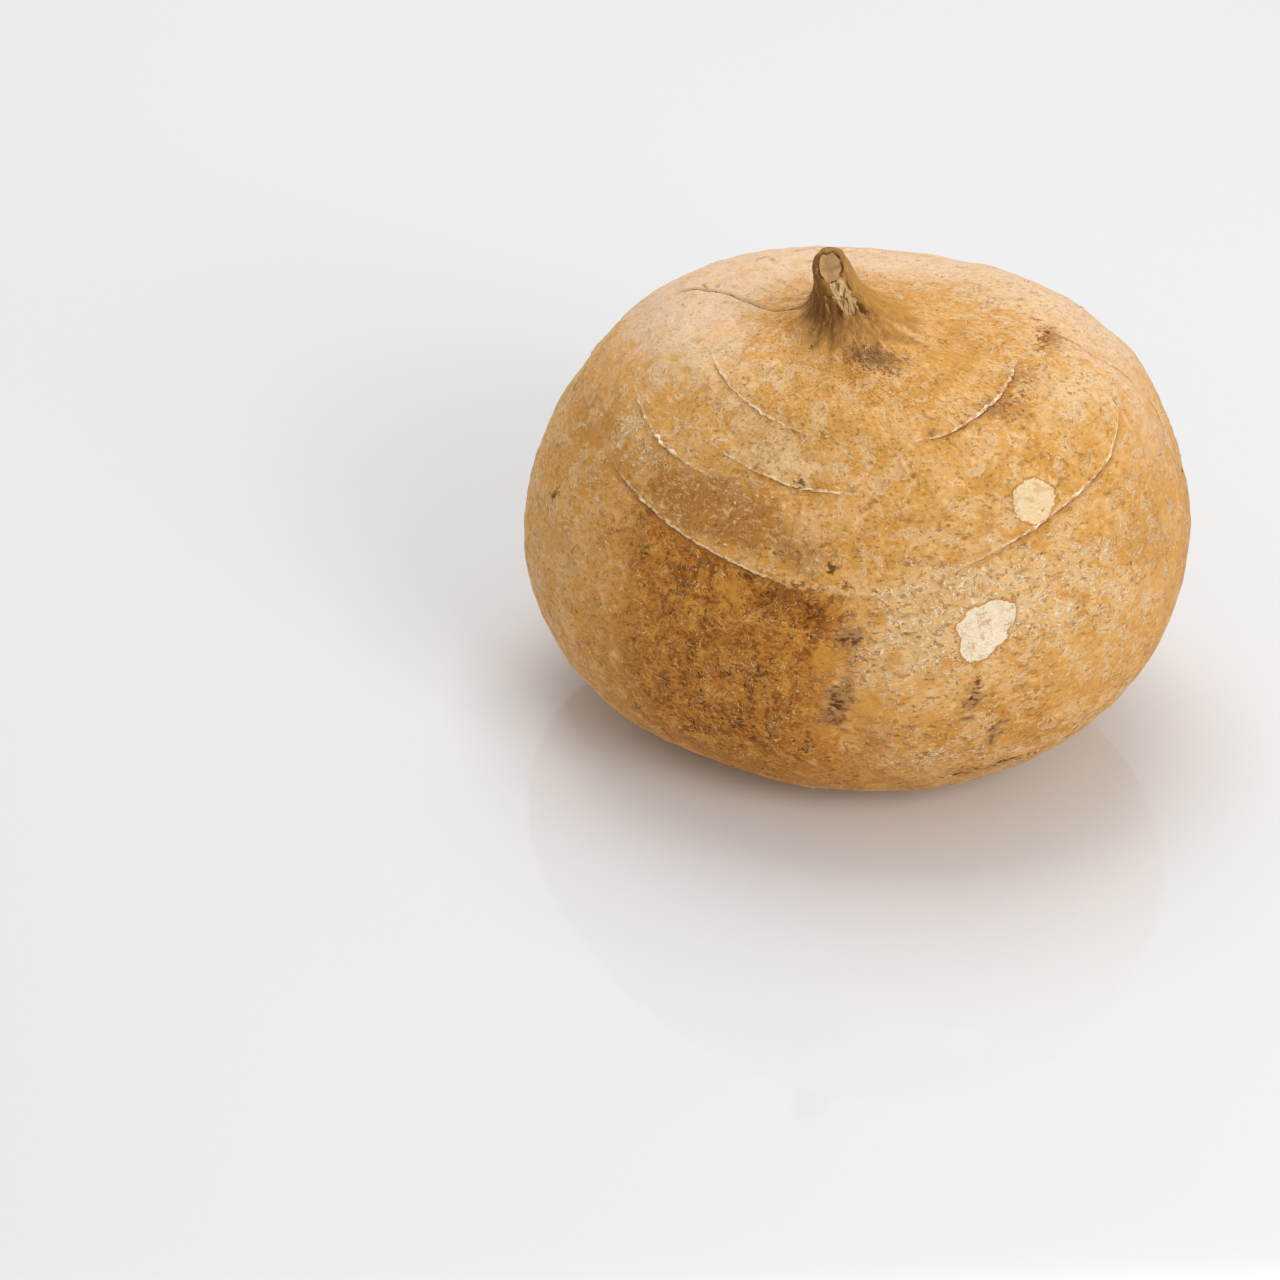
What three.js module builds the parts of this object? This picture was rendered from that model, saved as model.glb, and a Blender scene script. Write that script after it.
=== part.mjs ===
// A whole jicama root as it comes from the field: a squat, slightly lobed body with a flat crown,
// the stub of the vine's stem on top and a small flat spot underneath that it rests on.
// It grew as one body, so it is one closed solid. Millimetres, +Z up, origin at the centre of the
// flat spot, -Y towards the side that the stem stub leans to.

import * as THREE from 'three';

// ---- driving dimensions -------------------------------------------------------------------------

const FLAT_RADIUS = 19;        // the flat spot that the root rests on
const BELLY_RADIUS = 58.5;     // mean radius where the root is widest
const BELLY_HEIGHT = 37;
const CROWN_HEIGHT = 81.8;      // the flat crown that the stem grows out of
const STEM_HEIGHT = 101.6;     // middle of the cut face on the stem stub
const STEM_RADIUS = 3.4;       // at the cut

// the outline from the flat spot up to the cut on the stem: [mean radius, height]
const OUTLINE = [
  [0, 0],
  [FLAT_RADIUS, 0],
  [37, 4.5],
  [47.5, 11],
  [55.6, 22.5],
  [BELLY_RADIUS, BELLY_HEIGHT],
  [56.2, 51.5],
  [49.4, 66.5],
  [43.9, 73.7],
  [36.2, 79.9],
  [28, CROWN_HEIGHT + 1.1],
  [21.5, CROWN_HEIGHT + 2],
  [15, CROWN_HEIGHT + 3.7],
  [10.4, CROWN_HEIGHT + 6.2],
  [7.2, CROWN_HEIGHT + 8.9],
  [5.4, CROWN_HEIGHT + 11.7],
  [4.4, CROWN_HEIGHT + 14.5],
  [3.8, CROWN_HEIGHT + 17],
  [STEM_RADIUS, STEM_HEIGHT - 1],
  [STEM_RADIUS - 0.5, STEM_HEIGHT],
  [0, STEM_HEIGHT],
];

// the plan isn't round: the mean radius is multiplied by 1 + these waves around the root
const OVAL_X = 0.085;          // longer along X than along Y
const OVAL_DIAGONAL = -0.068;  // longer along one diagonal than along the other
const THREE_LOBES = 0.015;

const DRIFT = [9.3, 11.2];     // how far the shoulder has grown sideways over the flat spot
const DRIFT_TOP = 76;          // the height where that drift is complete
const CROWN_SHIFT = [-5.5, -7.5];  // the middle of the crown lies back towards the stem's side
const CROWN_REACH = 60;        // the radius within which the crown is shifted
const STEM_LEAN = [-6, -9];    // sideways from the stem's base to its cut
const CUT_SLOPE = 0.8;         // the cut on the stem faces up and towards -Y

const COLUMNS = 48;            // facets around
const ROWS = 34;               // facets from the flat spot's edge to the middle of the cut

// ---- shape ----------------------------------------------------------------------------------------

const smooth = (x) => THREE.MathUtils.smoothstep(x, 0, 1);

// The outline as a row of points, sampled on a smooth curve through OUTLINE. It starts on the axis,
// crosses the flat spot in one step and ends on the axis in the middle of the cut.
function outlinePoints() {
  const curve = new THREE.SplineCurve(OUTLINE.map(([r, z]) => new THREE.Vector2(r, z)));
  const spans = OUTLINE.length - 1;
  const points = [new THREE.Vector2(0, 0)];
  for (let row = 0; row <= ROWS; row += 1) {
    const t = (1 + (spans - 1) * row / ROWS) / spans;
    points.push(curve.getPoint(t));
  }
  return points;
}

// Where the root's skin lies, for a mean radius, a height and an azimuth around the axis.
function skinPoint(radius, height, azimuth) {
  const body = smooth((radius - 6) / 20);
  const wave = OVAL_X * Math.cos(2 * azimuth)
    + OVAL_DIAGONAL * Math.sin(2 * azimuth)
    + THREE_LOBES * Math.sin(3 * azimuth);
  const r = radius * (1 + body * wave);

  const drift = THREE.MathUtils.clamp(height / DRIFT_TOP, 0, 1);
  const crown = smooth((height - 45) / 20) * smooth(1 - radius / CROWN_REACH);
  const stem = THREE.MathUtils.clamp((height - CROWN_HEIGHT) / (STEM_HEIGHT - CROWN_HEIGHT), 0, 1);
  const shift = [0, 1].map((k) => DRIFT[k] * drift + CROWN_SHIFT[k] * crown + STEM_LEAN[k] * stem);

  const cut = smooth((height - STEM_HEIGHT + 7) / 6) * CUT_SLOPE * r * Math.sin(azimuth);
  return new THREE.Vector3(
    r * Math.cos(azimuth) + shift[0],
    r * Math.sin(azimuth) + shift[1],
    height + cut,
  );
}

// A lathed solid of the outline gives the facets. Each of its vertices is then moved to the skin.
function rootGeometry() {
  const points = outlinePoints();
  const geometry = new THREE.LatheGeometry(points, COLUMNS);
  const position = geometry.getAttribute('position');
  for (let column = 0; column <= COLUMNS; column += 1) {
    // the first and the last column are the same line, so the solid closes exactly
    const azimuth = 2 * Math.PI * (column % COLUMNS) / COLUMNS;
    points.forEach((point, row) => {
      const skin = skinPoint(point.x, point.y, azimuth);
      position.setXYZ(column * points.length + row, skin.x, skin.y, skin.z);
    });
  }
  geometry.computeVertexNormals();
  return geometry;
}

function jicamaRoot() {
  // dry corky skin: golden tan, matt with a faint waxy sheen
  const skin = new THREE.MeshStandardMaterial({ color: 0xc9985a, roughness: 0.6, metalness: 0 });
  const mesh = new THREE.Mesh(rootGeometry(), skin);
  mesh.name = 'jicama_root';
  return mesh;
}

const group = new THREE.Group();
group.add(jicamaRoot());

export default group;
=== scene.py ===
# %% [markdown]
# # A whole jicama root
#
# Jicama is the swollen root of a vine. This one is about 13 cm wide: a squat, slightly lobed body,
# a flat crown, the stub of the vine's stem, and a small flat spot below that it rests on. Its skin is
# a thin layer of dry cork, like brown paper glued to the flesh, and all of the look is in that skin.
#
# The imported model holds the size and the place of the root. This script gives it its skin: the same
# shape with small bumps, growth cracks, chips and a torn stem, then the corky finish, the floor, the
# light and the camera.

# %% Set-up
import math

import bpy
import numpy as np
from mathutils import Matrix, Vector


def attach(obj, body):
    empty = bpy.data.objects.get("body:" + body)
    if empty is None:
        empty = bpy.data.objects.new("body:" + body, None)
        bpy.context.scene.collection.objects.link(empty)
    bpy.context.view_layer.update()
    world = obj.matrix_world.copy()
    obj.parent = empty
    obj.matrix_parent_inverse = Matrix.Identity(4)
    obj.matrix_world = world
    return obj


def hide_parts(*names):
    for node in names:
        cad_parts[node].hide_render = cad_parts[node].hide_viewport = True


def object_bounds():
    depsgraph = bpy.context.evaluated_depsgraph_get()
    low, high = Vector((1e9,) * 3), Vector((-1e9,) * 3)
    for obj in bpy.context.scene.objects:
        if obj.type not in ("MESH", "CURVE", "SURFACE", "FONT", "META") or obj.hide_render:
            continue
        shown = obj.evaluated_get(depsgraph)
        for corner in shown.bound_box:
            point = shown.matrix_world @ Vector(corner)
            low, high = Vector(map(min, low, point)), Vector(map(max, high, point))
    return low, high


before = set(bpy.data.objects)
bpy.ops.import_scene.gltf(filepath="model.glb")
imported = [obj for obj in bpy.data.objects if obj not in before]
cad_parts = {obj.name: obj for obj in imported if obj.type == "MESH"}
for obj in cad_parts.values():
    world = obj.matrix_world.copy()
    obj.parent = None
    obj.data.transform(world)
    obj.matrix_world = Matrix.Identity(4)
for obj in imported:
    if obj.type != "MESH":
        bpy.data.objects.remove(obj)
cad_low, cad_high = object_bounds()

MM = 0.001                      # the scene is in metres, and the root is easier to read in millimetres
scene = bpy.context.scene

print("root solid, mm:", [round(c / MM, 1) for c in cad_high - cad_low])

# %% [markdown]
# ## The outline of the root
#
# A root could be sculpted by hand, or grown from a sphere with modifiers. Here it is a surface of
# revolution that is then pushed out of round, because that is how a root grows: around an axis,
# unevenly. One Catmull-Rom curve holds the mean radius at every height. It passes through each of its
# points, so every point can be read as a radius and a height.

# %% The outline
FLAT_RADIUS = 19.0              # the flat spot that the root rests on
CROWN_HEIGHT = 81.8             # the crown that the stem grows out of
STEM_HEIGHT = 101.6             # middle of the cut face on the stem stub
STEM_RADIUS = 3.4               # at the cut

# [mean radius, height] in millimetres, from the flat spot up to the middle of the cut
OUTLINE = np.array([
    [0, 0], [FLAT_RADIUS, 0], [37, 4.5], [47.5, 11], [55.6, 22.5], [58.5, 37],
    [56.2, 51.5], [49.4, 66.5], [43.9, 73.7], [36.2, 79.9],
    [28, CROWN_HEIGHT + 1.1], [21.5, CROWN_HEIGHT + 2], [15, CROWN_HEIGHT + 3.7],
    [10.4, CROWN_HEIGHT + 6.2], [7.2, CROWN_HEIGHT + 8.9], [5.4, CROWN_HEIGHT + 11.7],
    [4.4, CROWN_HEIGHT + 14.5], [3.8, CROWN_HEIGHT + 17],
    [STEM_RADIUS, STEM_HEIGHT - 1], [STEM_RADIUS - 0.5, STEM_HEIGHT], [0, STEM_HEIGHT],
])


def smooth(x):
    """Smoothstep: 3x² - 2x³ between 0 and 1, and flat outside."""
    x = np.clip(x, 0, 1)
    return x * x * (3 - 2 * x)


def catmull_rom(points, t):
    """Uniform Catmull-Rom curve at t, where t = 3.25 is a quarter of the way from point 3 to point 4."""
    last = len(points) - 1
    i = np.clip(np.floor(t).astype(int), 0, last - 1)
    w = (t - i)[:, None]
    before, a, b, after = (points[np.clip(i + k, 0, last)] for k in (-1, 0, 1, 2))
    slope_a = (b - before) / 2
    slope_b = (after - a) / 2
    return (
        (2 * a - 2 * b + slope_a + slope_b) * w**3
        + (3 * b - 3 * a - 2 * slope_a - slope_b) * w**2
        + slope_a * w
        + a
    )


# the meridian: radius and height as a function of the length walked from the middle of the flat spot
curve = catmull_rom(OUTLINE, np.linspace(1, len(OUTLINE) - 1, 4000))
walked = np.cumsum(np.hypot(*np.diff(curve, axis=0).T))
MERIDIAN_S = np.concatenate([[0, FLAT_RADIUS], FLAT_RADIUS + walked])
MERIDIAN_R = np.concatenate([[0], curve[:, 0]])
MERIDIAN_Z = np.concatenate([[0], curve[:, 1]])
TIP_S = MERIDIAN_S[-1]


def radius_at(s):
    """Mean radius in mm at s along the meridian."""
    return np.interp(s, MERIDIAN_S, MERIDIAN_R)


print(f"meridian from the flat spot to the cut: {TIP_S:.1f} mm")

# %% [markdown]
# ## From the outline to the body
#
# The mean radius is multiplied by a few waves around the root, which makes the plan oval with a hint
# of three lobes. The body has grown sideways over its flat spot, the crown sits a little back towards
# the stem's side, and the stem leans.

# %% The body
OVAL_X, OVAL_DIAGONAL, THREE_LOBES = 0.085, -0.068, 0.015
DRIFT, DRIFT_TOP = (9.3, 11.2), 76.0
CROWN_SHIFT, CROWN_REACH = (-5.5, -7.5), 60.0
STEM_LEAN = (-6, -9)
CUT_SLOPE = 0.8


def body_point(s, azimuth):
    """Point of the smooth body, in mm, at s along the meridian and azimuth around the axis.
    Radius r(s) times 1 + waves of the azimuth, then three sideways shifts that depend on height."""
    r = radius_at(s)
    z = np.interp(s, MERIDIAN_S, MERIDIAN_Z)
    wave = (
        OVAL_X * np.cos(2 * azimuth)
        + OVAL_DIAGONAL * np.sin(2 * azimuth)
        + THREE_LOBES * np.sin(3 * azimuth)
    )
    out = r * (1 + smooth((r - 6) / 20) * wave)
    drift = np.clip(z / DRIFT_TOP, 0, 1)
    crown = smooth((z - 45) / 20) * smooth(1 - r / CROWN_REACH)
    stem = np.clip((z - CROWN_HEIGHT) / (STEM_HEIGHT - CROWN_HEIGHT), 0, 1)
    x, y = (
        out * turn + DRIFT[k] * drift + CROWN_SHIFT[k] * crown + STEM_LEAN[k] * stem
        for k, turn in enumerate((np.cos(azimuth), np.sin(azimuth)))
    )
    cut = smooth((z - STEM_HEIGHT + 7) / 6) * CUT_SLOPE * out * np.sin(azimuth)
    return np.stack(np.broadcast_arrays(x, y, z + cut), axis=-1)


# rows are close together on the stem and the crown, where the fine detail is, and wide on the flat spot
COLUMNS = 384
SPACING = np.interp(MERIDIAN_S, [0, 18, 24, 120, 150, TIP_S], [2.2, 1.6, 0.78, 0.68, 0.5, 0.36])
rows_passed = np.concatenate([[0], np.cumsum(np.diff(MERIDIAN_S) / SPACING[1:])])
ROWS = int(rows_passed[-1])
row_s = np.interp(np.linspace(0, rows_passed[-1], ROWS + 2)[1:-1], rows_passed, MERIDIAN_S)
azimuths = np.arange(COLUMNS) * 2 * np.pi / COLUMNS - np.pi

S, A = np.meshgrid(row_s, azimuths, indexing="ij")
body = body_point(S, A)
print(f"grid: {ROWS} rows of {COLUMNS}, {2 * ROWS * COLUMNS} triangles")

# %% [markdown]
# ## Noise made of waves
#
# Bumps on a root have no pattern, but they do have a size. A sum of cosine waves in random directions,
# all of about one length, gives just that: bumps of a known size in millimetres. It is seeded, so
# every run gives the same root.

# %% Random waves
def waves(points, size, seed, count=40):
    """Sum of `count` cosines of random direction and phase, with lengths of 0.7 to 1.4 times `size`.
    The result is around 0 with a spread of 1."""
    rng = np.random.default_rng(seed)
    direction = rng.normal(size=(count, 3))
    direction /= np.linalg.norm(direction, axis=1, keepdims=True)
    length = size * rng.uniform(0.7, 1.4, count)
    phase = rng.uniform(0, 2 * np.pi, count)
    angle = points @ (direction * (2 * np.pi / length)[:, None]).T + phase
    return np.cos(angle).sum(axis=-1) * math.sqrt(2 / count)


def along_skin(s, azimuth, around, along):
    """Coordinates wrapped round the root, stretched: `around` mm at the belly and `along` mm on the
    meridian both count as 1. Noise read there has streaks, and no seam."""
    belly = 60.0
    return np.stack(
        [belly * np.cos(azimuth) / around, belly * np.sin(azimuth) / around, s / along], axis=-1
    )


print("spread of the waves:", round(float(waves(body[::9, ::9], 5, 1).std()), 2))

# %% [markdown]
# ## Growth cracks
#
# As the root swells, its papery skin tears along rings around the stem, and the torn edge dries to a
# pale lip with a shadow under it. Drawn in the finish alone, the tears would catch no light. So each
# tear is a curve on the skin, and every grid point gets its distance to the nearest one: the relief
# takes the step in the skin from it, and the finish the pale lip and the dark gap.

# %% Where the tears run
# name: (path, lip, gap, step). The path of a ring gives s for a list of azimuths in degrees. Lip and gap
# say how pale the torn edge and how dark the gap is along it, and step how far the skin below lies
# back, in mm.
RINGS = {
    "inner_ring": (
        [(-175, 136), (-161, 134), (-153, 131.5), (-142, 128.5), (-130, 126), (-116, 124), (-100, 124.5),
         (-84, 125.5), (-74, 126.5), (-65, 129), (-55, 132), (-43, 135), (-30, 138), (-10, 138.5),
         (30, 134), (80, 131), (130, 134)],
        [(-170, 0), (-162, 0.6), (-150, 1), (-120, 0.75), (-112, 0.3), (-98, 0.1), (-84, 0.25),
         (-74, 0.8), (-62, 1), (-44, 0.9), (-32, 0.5), (-22, 0), (60, 0), (75, 0.6), (110, 0.7),
         (128, 0)],
        [(-170, 0), (-150, 0.55), (-116, 0.3), (-100, 0), (-80, 0.3), (-70, 1), (-45, 1), (-30, 0.6),
         (-20, 0), (60, 0), (80, 0.5), (110, 0.5), (128, 0)],
        0.2,
    ),
    "upper_left_ring": (
        [(-178, 120), (-166, 117), (-161, 115.5), (-155, 113.5), (-148, 112), (-137, 111), (-120, 111),
         (60, 116), (140, 121)],
        [(-172, 0), (-165, 0.8), (-150, 1), (-138, 0.6), (-131, 0), (175, 0)],
        [(-172, 0), (-163, 0.4), (-148, 0.55), (-137, 0.3), (-131, 0), (175, 0)],
        0.15,
    ),
    "middle_ring": (
        [(-146, 117.5), (-138, 116.5), (-125, 114.5), (-113, 113.5), (-102, 114), (-90, 114.5), (0, 116),
         (90, 112), (160, 116)],
        [(-145, 0), (-137, 0.6), (-124, 0.9), (-112, 1), (-101, 0.8), (-94, 0), (40, 0), (55, 0.7),
         (85, 0.9), (105, 0.4), (115, 0)],
        [(-145, 0), (-130, 0.5), (-112, 0.8), (-103, 0.4), (-96, 0), (40, 0), (60, 0.6), (95, 0.5),
         (115, 0)],
        0.2,
    ),
    "outer_ring": (
        [(-175, 108), (-158, 104), (-144, 101), (-134, 99), (-121, 97.5), (-109, 96), (-98, 96),
         (-85, 97.5), (-76, 101), (-66, 104.5), (-57, 107.5), (-46, 111), (-35, 114), (-27, 117.5),
         (-20, 120.5), (0, 121), (45, 108), (95, 104), (140, 107)],
        [(-168, 0.2), (-150, 0.6), (-140, 0.8), (-118, 0.8), (-110, 0.3), (-104, 0.05), (-94, 0.1),
         (-84, 0.35), (-76, 0.25), (-66, 0.5), (-60, 0.9), (-40, 0.9), (-30, 0.6), (-20, 0.3), (-12, 0),
         (95, 0), (110, 0.7), (150, 0.9), (170, 0.5)],
        [(-168, 0.2), (-150, 0.8), (-138, 1), (-114, 0.9), (-106, 0.2), (-92, 0.35), (-84, 0.2),
         (-74, 0.4), (-60, 0.8), (-38, 1), (-28, 0.5), (-14, 0), (95, 0), (115, 0.6), (150, 0.7),
         (170, 0.4)],
        0.3,
    ),
}

# name: (path, lip, gap). The path of a radial tear gives the azimuth for a list of s, and its two
# strengths are listed by s.
RADIALS = {
    "left_of_stem": (
        [(128, 161), (131, 159), (136, 158), (141, 157), (147, 162), (151, 169), (157, 173), (164, 186)],
        [(128, 0), (132, 0.4), (140, 0.5), (150, 0.4), (158, 0.5), (165, 0)],
        [(128, 0), (132, 0.8), (141, 1), (147, 0.7), (152, 1), (160, 1), (165, 0)],
    ),
    "right_shoulder": (
        [(96, -10), (99, -11), (104, -12), (108, -12), (112, -10), (121, -10), (127, -10), (130, -8),
         (135, -5), (138, -3), (141, -2)],
        [(96, 0), (100, 0.3), (108, 0.6), (115, 0.3), (124, 0.6), (130, 0.3), (141, 0)],
        [(96, 0), (100, 0.5), (106, 0.2), (110, 0.7), (118, 0.3), (122, 0.6), (127, 0.2), (133, 0.7),
         (141, 0)],
    ),
    "front_crease": (
        [(99, -110), (101, -110), (107, -111), (110, -110), (113, -112), (115, -111)],
        [(99, 0), (115, 0)],
        [(99, 0), (101, 0.5), (103, 0.1), (106, 0.6), (109, 0.1), (111, 0.7), (113, 0.3), (115, 0)],
    ),
}
print(len(RINGS), "rings and", len(RADIALS), "radial tears")

# %% Distance to the nearest tear
CRACK_REACH = 3.0               # mm on either side of a tear within which it shows
FAINT = 0.03                    # a tear weaker than this has closed up
FAR = 99.0                      # mm to a tear that isn't there
RING_BLUR = 4.0                 # degrees over which the corners of a ring are rounded
RADIAL_BLUR = 1.5               # mm over which the corners of a radial tear are rounded


def rounded(table, x, period=None, blur=2.0):
    """A table of (x, value) pairs joined by straight lines, then averaged over about `blur`."""
    knots, values = np.array(table, float).T
    offsets = np.linspace(-blur, blur, 9)
    weights = np.cos(offsets / blur * 1.4)
    picked = [w * np.interp(x + d, knots, values, period=period) for d, w in zip(offsets, weights)]
    return sum(picked) / weights.sum()


def tears(s, azimuth):
    """Signed distance in mm to the nearest tear, positive on the stem's side, with the strengths of
    its lip, its gap and its step there."""
    degrees = np.degrees(azimuth)
    radius = np.maximum(radius_at(s), 1)
    nearest = np.full(s.shape, FAR)
    found = {name: np.zeros(s.shape) for name in ("lip", "gap", "step")}

    def keep(distance, lip, gap, step):
        distance = np.where(lip + gap > FAINT, distance, FAR)
        closer = np.abs(distance) < np.abs(nearest)
        nearest[closer] = distance[closer]
        reach = smooth(CRACK_REACH - np.abs(distance))
        for name, value in (("lip", lip * reach), ("gap", gap * reach), ("step", gap * step)):
            found[name][closer] = value[closer]

    for path, lips, gaps, step in RINGS.values():
        centre = rounded(path, degrees, 360, RING_BLUR)
        slope = (rounded(path, degrees + 1, 360, RING_BLUR) - centre) / (radius * math.radians(1))
        distance = (s - centre) / np.sqrt(1 + slope**2)
        keep(distance, rounded(lips, degrees, 360), rounded(gaps, degrees, 360), step)
    for path, lips, gaps in RADIALS.values():
        centre = rounded(path, s, None, RADIAL_BLUR)
        slope = (rounded(path, s + 1, None, RADIAL_BLUR) - centre) * np.radians(1) * radius
        away = (degrees - centre + 180) % 360 - 180
        distance = np.radians(away) * radius / np.sqrt(1 + slope**2)
        on = (s > path[0][0]) & (s < path[-1][0])
        keep(np.where(on, distance, FAR), rounded(lips, s), rounded(gaps, s), 0)
    return np.clip(nearest, -CRACK_REACH, CRACK_REACH), found


crack_mm, crack = tears(S, A)
print("grid points within a millimetre of a tear:", int((np.abs(crack_mm) < 1).sum()))

# %% [markdown]
# ## Chips and spots
#
# Three flakes of skin have come off and show the cream flesh below, one of them at the back. The skin
# also carries dark knots, grey bruises, brown earth stains, pale papery zones and smooth worn ones. Some
# spots are painted light: the earth stains also paint shade on the lower left front, pale and rose spots
# paint a sheen on the crown and the back, amber paints shade around the stem's foot and at the left
# edge, and the stub has a painted lit right flank and a painted shaded left side.
# Each sits at an azimuth and a distance along the meridian. A chip is an outline of a few
# corners; a spot is a soft oval. How ragged they look is left to the noise in the finish.

# %% Chips
# (azimuth in degrees, s in mm), then the corners: (sideways, up) in mm from there
CHIPS = [
    ((-69, 90.5),
     [(-4, 3), (-2.5, 4.5), (-1, 4), (1, 5), (3.5, 5), (5.5, 4), (5.5, 1.5), (4, -0.5), (4, -2.5),
      (2, -3.5), (0, -5), (-2.5, -5.5), (-4.5, -4), (-4.5, -1), (-5.5, 1)]),
    ((-57, 112),
     [(-3, 3), (-1.5, 3.5), (0, 4), (2.5, 3.5), (3.5, 2.5), (4, 1), (4, -1), (3, -2.5), (1, -4),
      (-2, -3.5), (-3.5, -2), (-3.5, 1)]),
    ((118, 92), [(-3, 2), (0.5, 3.5), (3.5, 2), (4.5, -1), (1.5, -3), (-2, -2.5), (-4, 0)]),
]
CORNER_BLUR = 3.0               # degrees over which the corners of a chip are rounded


def on_skin(s, azimuth, place):
    """Sideways and upward distance in mm on the skin from a place given as (azimuth in degrees, s)."""
    turn = (np.degrees(azimuth) - place[0] + 180) % 360 - 180
    return np.radians(turn) * radius_at(place[1]), s - place[1]


def chip_depth(s, azimuth):
    """Distance in mm inside the edge of the nearest chip, negative outside. The edge is the radius
    of the outline in each direction from the chip's middle."""
    inside = np.full(s.shape, -CRACK_REACH)
    for place, corners in CHIPS:
        u, v = on_skin(s, azimuth, place)
        sideways, up = np.array(corners).T
        directions, reach = np.degrees(np.arctan2(up, sideways)), np.hypot(sideways, up)
        edge = rounded(list(zip(directions, reach)), np.degrees(np.arctan2(v, u)), 360, CORNER_BLUR)
        inside = np.maximum(inside, edge - np.hypot(u, v))
    return np.clip(inside, -CRACK_REACH, CRACK_REACH)


chip_mm = chip_depth(S, A)
print("grid points in the chips:", int((chip_mm > 0).sum()))

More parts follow.
